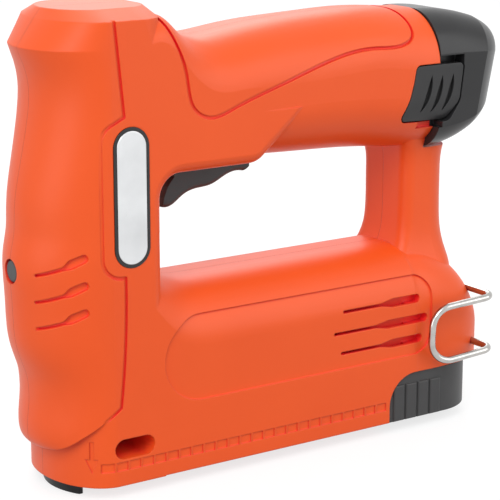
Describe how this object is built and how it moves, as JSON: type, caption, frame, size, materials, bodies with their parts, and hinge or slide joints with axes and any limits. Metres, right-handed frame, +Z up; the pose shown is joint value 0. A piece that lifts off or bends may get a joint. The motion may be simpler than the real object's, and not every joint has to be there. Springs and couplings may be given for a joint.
{
  "type": "cordless stapler",
  "caption": "Cordless hand stapler with a closed handle frame, rear battery pack, finger trigger, slide-out magazine under the base, wire belt hook and sprung nose contact.",
  "frame": {"origin": "where the driver leaves the nose face, on the parting plane of the case", "axes": "+X back towards the battery, +Y to the tool's right, +Z up along the driver"},
  "size_m": [0.2218, 0.0652, 0.1821],
  "materials": {
    "case_plastic": "satin moulded",
    "dark_plastic": "fine textured",
    "grey_plastic": "fine textured",
    "badge_plate": "brushed",
    "badge_rim": "gloss",
    "hook_wire": "bright plated",
    "steel": "machined",
    "zinc_plate": "zinc plated",
    "spring_steel": "drawn wire",
    "black_steel": "black oxide",
    "bronze": "sintered",
    "contact_brass": "plated",
    "board": "solder mask",
    "switch_plastic": "moulded",
    "cell_sleeve": "shrink sleeve",
    "rubber": "matt",
    "magnet": "sintered"
  },
  "bodies": {
    "case": {"badge_plate_left": "badge_plate", "badge_plate_right": "badge_plate", "badge_rim_left": "badge_rim", "badge_rim_right": "badge_rim", "belt_hook": "hook_wire", "button_spring": "spring_steel", "button_switch": "switch_plastic", "case_screws": "zinc_plate", "control_board": "board", "gearbox_cover": "zinc_plate", "gearbox_ring": "steel", "guide_rods": "steel", "hammer_bumper": "rubber", "hammer_spring_left": "spring_steel", "hammer_spring_right": "spring_steel", "housing_left": "case_plastic", "housing_right": "case_plastic", "magazine_channel": "zinc_plate", "motor_can": "zinc_plate", "motor_end": "switch_plastic", "motor_magnets": "magnet", "nose_block": "steel", "output_bush": "bronze", "safety_switch": "switch_plastic", "spring_plate": "zinc_plate", "terminal_blades": "contact_brass", "terminal_block": "switch_plastic", "trigger_pin": "steel", "trigger_spring": "spring_steel", "trigger_switch": "switch_plastic", "yoke_springs": "spring_steel"},
    "button": {"front_button": "grey_plastic"},
    "trigger": {"trigger": "grey_plastic"},
    "rotor": {"motor_rotor": "steel", "sun_gear": "steel"},
    "first_carrier": {"carrier_first": "steel"},
    "output": {"output_shaft": "steel", "lift_gear": "steel"},
    "hammer": {"hammer": "steel", "driver_blade": "steel"},
    "safety": {"safety_yoke": "black_steel"},
    "drawer": {"magazine_grip": "grey_plastic", "feed_rail": "zinc_plate", "feed_rod": "steel", "feed_spring": "spring_steel"},
    "pusher": {"pusher": "black_steel"},
    "battery": {"battery_case": "dark_plastic", "battery_cap": "dark_plastic", "battery_cells": "cell_sleeve", "battery_clips": "contact_brass"},
    "latch_left": {"battery_latch_left": "dark_plastic"},
    "latch_right": {"battery_latch_right": "dark_plastic"},
    "planet_1a": {"planet_1a": "steel"},
    "planet_1b": {"planet_1b": "steel"},
    "planet_1c": {"planet_1c": "steel"},
    "planet_2a": {"planet_2a": "steel"},
    "planet_2b": {"planet_2b": "steel"},
    "planet_2c": {"planet_2c": "steel"}
  },
  "joints": [
    {"name": "button_press", "type": "slide", "parent": "case", "child": "button", "axis": [1, 0, 0], "range_m": [0, 0.0015], "stiffness_N_per_m": 800, "springref_m": -0.0015, "deforming": ["button_spring"]},
    {"name": "trigger_pull", "type": "hinge", "parent": "case", "child": "trigger", "pos_m": [0.0765, 0, 0.122], "axis": [0, 1, 0], "range_deg": [0, 8], "stiffness_Nm_per_rad": 0.8, "springref_deg": -8.59, "deforming": ["trigger_spring"]},
    {"name": "rotor_spin", "type": "hinge", "parent": "case", "child": "rotor", "pos_m": [0.1, 0, 0.05], "axis": [1, 0, 0], "range_deg": [0, 2835]},
    {"name": "first_carrier_spin", "type": "hinge", "parent": "case", "child": "first_carrier", "pos_m": [0.0735, 0, 0.05], "axis": [1, 0, 0], "range_deg": [-2, 632]},
    {"name": "output_spin", "type": "hinge", "parent": "case", "child": "output", "pos_m": [0.03, 0, 0.05], "axis": [1, 0, 0], "range_deg": [-1, 141]},
    {"name": "hammer_lift", "type": "slide", "parent": "case", "child": "hammer", "axis": [0, 0, 1], "range_m": [-0.0001, 0.0221], "deforming": ["hammer_spring_left", "hammer_spring_right"]},
    {"name": "safety_press", "type": "slide", "parent": "case", "child": "safety", "axis": [0, 0, 1], "range_m": [0, 0.0025], "stiffness_N_per_m": 3000, "springref_m": -0.006, "deforming": ["yoke_springs"]},
    {"name": "drawer_slide", "type": "slide", "parent": "case", "child": "drawer", "axis": [1, 0, 0], "range_m": [0, 0.11]},
    {"name": "pusher_slide", "type": "slide", "parent": "drawer", "child": "pusher", "axis": [1, 0, 0], "range_m": [0, 0.095], "stiffness_N_per_m": 60, "springref_m": -0.05, "deforming": ["feed_spring"]},
    {"name": "battery_slide", "type": "slide", "parent": "case", "child": "battery", "axis": [1, 0, 0], "range_m": [0, 0.075]},
    {"name": "latch_left_press", "type": "slide", "parent": "battery", "child": "latch_left", "axis": [0, 1, 0], "range_m": [0, 0.002], "stiffness_N_per_m": 1500, "springref_m": -0.002},
    {"name": "latch_right_press", "type": "slide", "parent": "battery", "child": "latch_right", "axis": [0, -1, 0], "range_m": [0, 0.002], "stiffness_N_per_m": 1500, "springref_m": -0.002},
    {"name": "planet_1a_spin", "type": "hinge", "parent": "first_carrier", "child": "planet_1a", "pos_m": [0.079, 0, 0.0581], "axis": [1, 0, 0], "range_deg": [-1767, 3]},
    {"name": "planet_1b_spin", "type": "hinge", "parent": "first_carrier", "child": "planet_1b", "pos_m": [0.079, -0.00701, 0.04595], "axis": [1, 0, 0], "range_deg": [-1767, 3]},
    {"name": "planet_1c_spin", "type": "hinge", "parent": "first_carrier", "child": "planet_1c", "pos_m": [0.079, 0.00701, 0.04595], "axis": [1, 0, 0], "range_deg": [-1767, 3]},
    {"name": "planet_2a_spin", "type": "hinge", "parent": "output", "child": "planet_2a", "pos_m": [0.068, 0, 0.0581], "axis": [1, 0, 0], "range_deg": [-395, 3]},
    {"name": "planet_2b_spin", "type": "hinge", "parent": "output", "child": "planet_2b", "pos_m": [0.068, -0.00701, 0.04595], "axis": [1, 0, 0], "range_deg": [-395, 3]},
    {"name": "planet_2c_spin", "type": "hinge", "parent": "output", "child": "planet_2c", "pos_m": [0.068, 0.00701, 0.04595], "axis": [1, 0, 0], "range_deg": [-395, 3]}
  ],
  "couplings": [
    {"joint": "first_carrier_spin", "follows": "rotor_spin", "ratio": 0.22222},
    {"joint": "output_spin", "follows": "rotor_spin", "ratio": 0.049383},
    {"joint": "hammer_lift", "follows": "rotor_spin", "m_per_rad": 0.00044444},
    {"joint": "planet_1a_spin", "follows": "rotor_spin", "ratio": -0.62222},
    {"joint": "planet_1b_spin", "follows": "rotor_spin", "ratio": -0.62222},
    {"joint": "planet_1c_spin", "follows": "rotor_spin", "ratio": -0.62222},
    {"joint": "planet_2a_spin", "follows": "rotor_spin", "ratio": -0.13827},
    {"joint": "planet_2b_spin", "follows": "rotor_spin", "ratio": -0.13827},
    {"joint": "planet_2c_spin", "follows": "rotor_spin", "ratio": -0.13827}
  ]
}
